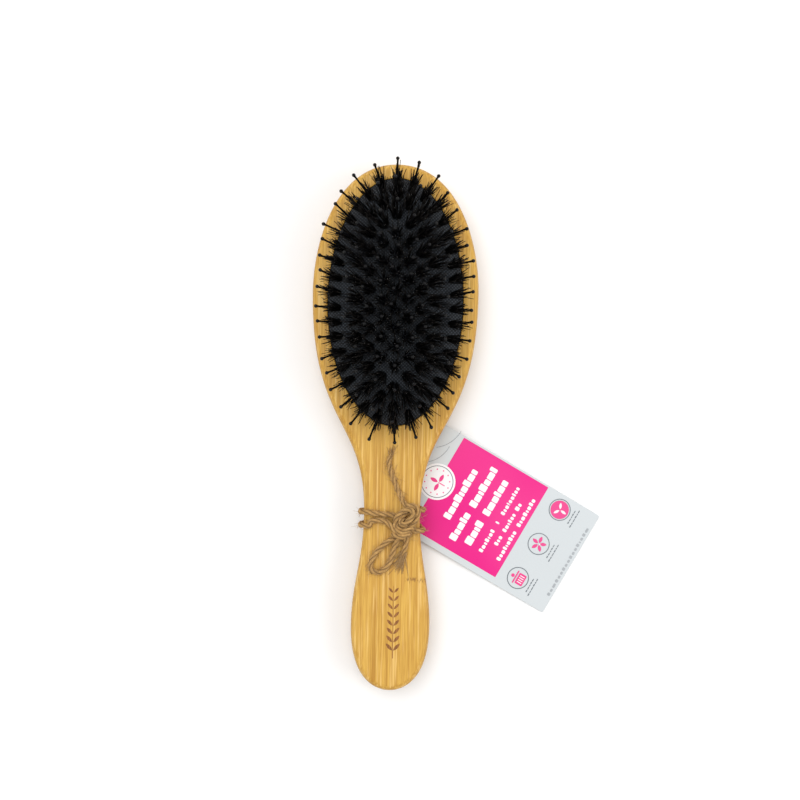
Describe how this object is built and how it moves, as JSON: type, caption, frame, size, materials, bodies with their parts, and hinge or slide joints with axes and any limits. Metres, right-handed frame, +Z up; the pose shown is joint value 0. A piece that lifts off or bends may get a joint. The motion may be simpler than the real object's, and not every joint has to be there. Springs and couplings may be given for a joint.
{
  "type": "paddle cushion hair brush",
  "caption": "Oval wooden hair brush with a sprung cushion of ball-tipped pins and bristle tufts, twine round the neck and a card swing tag.",
  "frame": {"origin": "under the middle of the brush, on the surface it lies on", "axes": "+X across the brush, +Y from the handle to the tip of the head, +Z up out of the bristles"},
  "size_m": [0.1292, 0.23, 0.0436],
  "materials": {
    "bamboo": "oiled bamboo, satin, fine lengthwise grain",
    "rubber_pad": "black, woven surface, satin",
    "nylon_pin": "black, glossy ball tips",
    "boar_bristle": "black-brown natural bristle, semi-gloss",
    "jute_twine": "raw jute, twisted plies, fuzzy",
    "tag_card": "printed card, satin"
  },
  "bodies": {
    "brush": {"wood_body": "bamboo", "cushion": "rubber_pad", "twine_knot": "jute_twine", "twine_upper_turn": "jute_twine", "twine_lower_turn": "jute_twine", "twine_upper_tail": "jute_twine", "twine_bow_loop": "jute_twine", "twine_lower_tail": "jute_twine"},
    "tufts_column_1": {"pins_column_1": "nylon_pin", "bristles_column_1": "boar_bristle"},
    "tufts_column_2": {"pins_column_2": "nylon_pin", "bristles_column_2": "boar_bristle"},
    "tufts_column_3": {"pins_column_3": "nylon_pin", "bristles_column_3": "boar_bristle"},
    "tufts_column_4": {"pins_column_4": "nylon_pin", "bristles_column_4": "boar_bristle"},
    "tufts_column_5": {"pins_column_5": "nylon_pin", "bristles_column_5": "boar_bristle"},
    "tufts_column_6": {"pins_column_6": "nylon_pin", "bristles_column_6": "boar_bristle"},
    "tufts_column_7": {"pins_column_7": "nylon_pin", "bristles_column_7": "boar_bristle"},
    "tufts_rim": {"pins_rim_1": "nylon_pin", "bristles_rim_1": "boar_bristle", "pins_rim_2": "nylon_pin", "bristles_rim_2": "boar_bristle", "pins_rim_3": "nylon_pin", "bristles_rim_3": "boar_bristle", "pins_rim_4": "nylon_pin", "bristles_rim_4": "boar_bristle", "pins_rim_5": "nylon_pin", "bristles_rim_5": "boar_bristle", "pins_rim_6": "nylon_pin", "bristles_rim_6": "boar_bristle", "pins_rim_7": "nylon_pin", "bristles_rim_7": "boar_bristle", "pins_rim_8": "nylon_pin", "bristles_rim_8": "boar_bristle", "pins_rim_9": "nylon_pin", "bristles_rim_9": "boar_bristle", "pins_rim_10": "nylon_pin", "bristles_rim_10": "boar_bristle"},
    "tag": {"swing_tag": "tag_card"}
  },
  "joints": [
    {"name": "cushion_press", "type": "slide", "parent": "brush", "child": "tufts_column_4", "axis": [0, 0, -1], "range_m": [0, 0.005], "stiffness_N_per_m": 400, "deforming": ["cushion"]},
    {"name": "press_column_3", "type": "slide", "parent": "brush", "child": "tufts_column_3", "axis": [0, 0, -1], "range_m": [0, 0.00485], "stiffness_N_per_m": 400},
    {"name": "press_column_5", "type": "slide", "parent": "brush", "child": "tufts_column_5", "axis": [0, 0, -1], "range_m": [0, 0.00485], "stiffness_N_per_m": 400},
    {"name": "press_column_2", "type": "slide", "parent": "brush", "child": "tufts_column_2", "axis": [0, 0, -1], "range_m": [0, 0.00445], "stiffness_N_per_m": 400},
    {"name": "press_column_6", "type": "slide", "parent": "brush", "child": "tufts_column_6", "axis": [0, 0, -1], "range_m": [0, 0.00445], "stiffness_N_per_m": 400},
    {"name": "press_column_1", "type": "slide", "parent": "brush", "child": "tufts_column_1", "axis": [0, 0, -1], "range_m": [0, 0.00395], "stiffness_N_per_m": 400},
    {"name": "press_column_7", "type": "slide", "parent": "brush", "child": "tufts_column_7", "axis": [0, 0, -1], "range_m": [0, 0.00395], "stiffness_N_per_m": 400},
    {"name": "press_rim", "type": "slide", "parent": "brush", "child": "tufts_rim", "axis": [0, 0, -1], "range_m": [0, 0.00195], "stiffness_N_per_m": 400},
    {"name": "tag_swing", "type": "hinge", "parent": "brush", "child": "tag", "pos_m": [0.0061, -0.0418, 0.0029], "axis": [0, 0, 1], "range_deg": [-30, 1]}
  ],
  "couplings": [
    {"joint": "press_column_3", "follows": "cushion_press", "ratio": 0.97},
    {"joint": "press_column_5", "follows": "cushion_press", "ratio": 0.97},
    {"joint": "press_column_2", "follows": "cushion_press", "ratio": 0.89},
    {"joint": "press_column_6", "follows": "cushion_press", "ratio": 0.89},
    {"joint": "press_column_1", "follows": "cushion_press", "ratio": 0.79},
    {"joint": "press_column_7", "follows": "cushion_press", "ratio": 0.79},
    {"joint": "press_rim", "follows": "cushion_press", "ratio": 0.39}
  ]
}
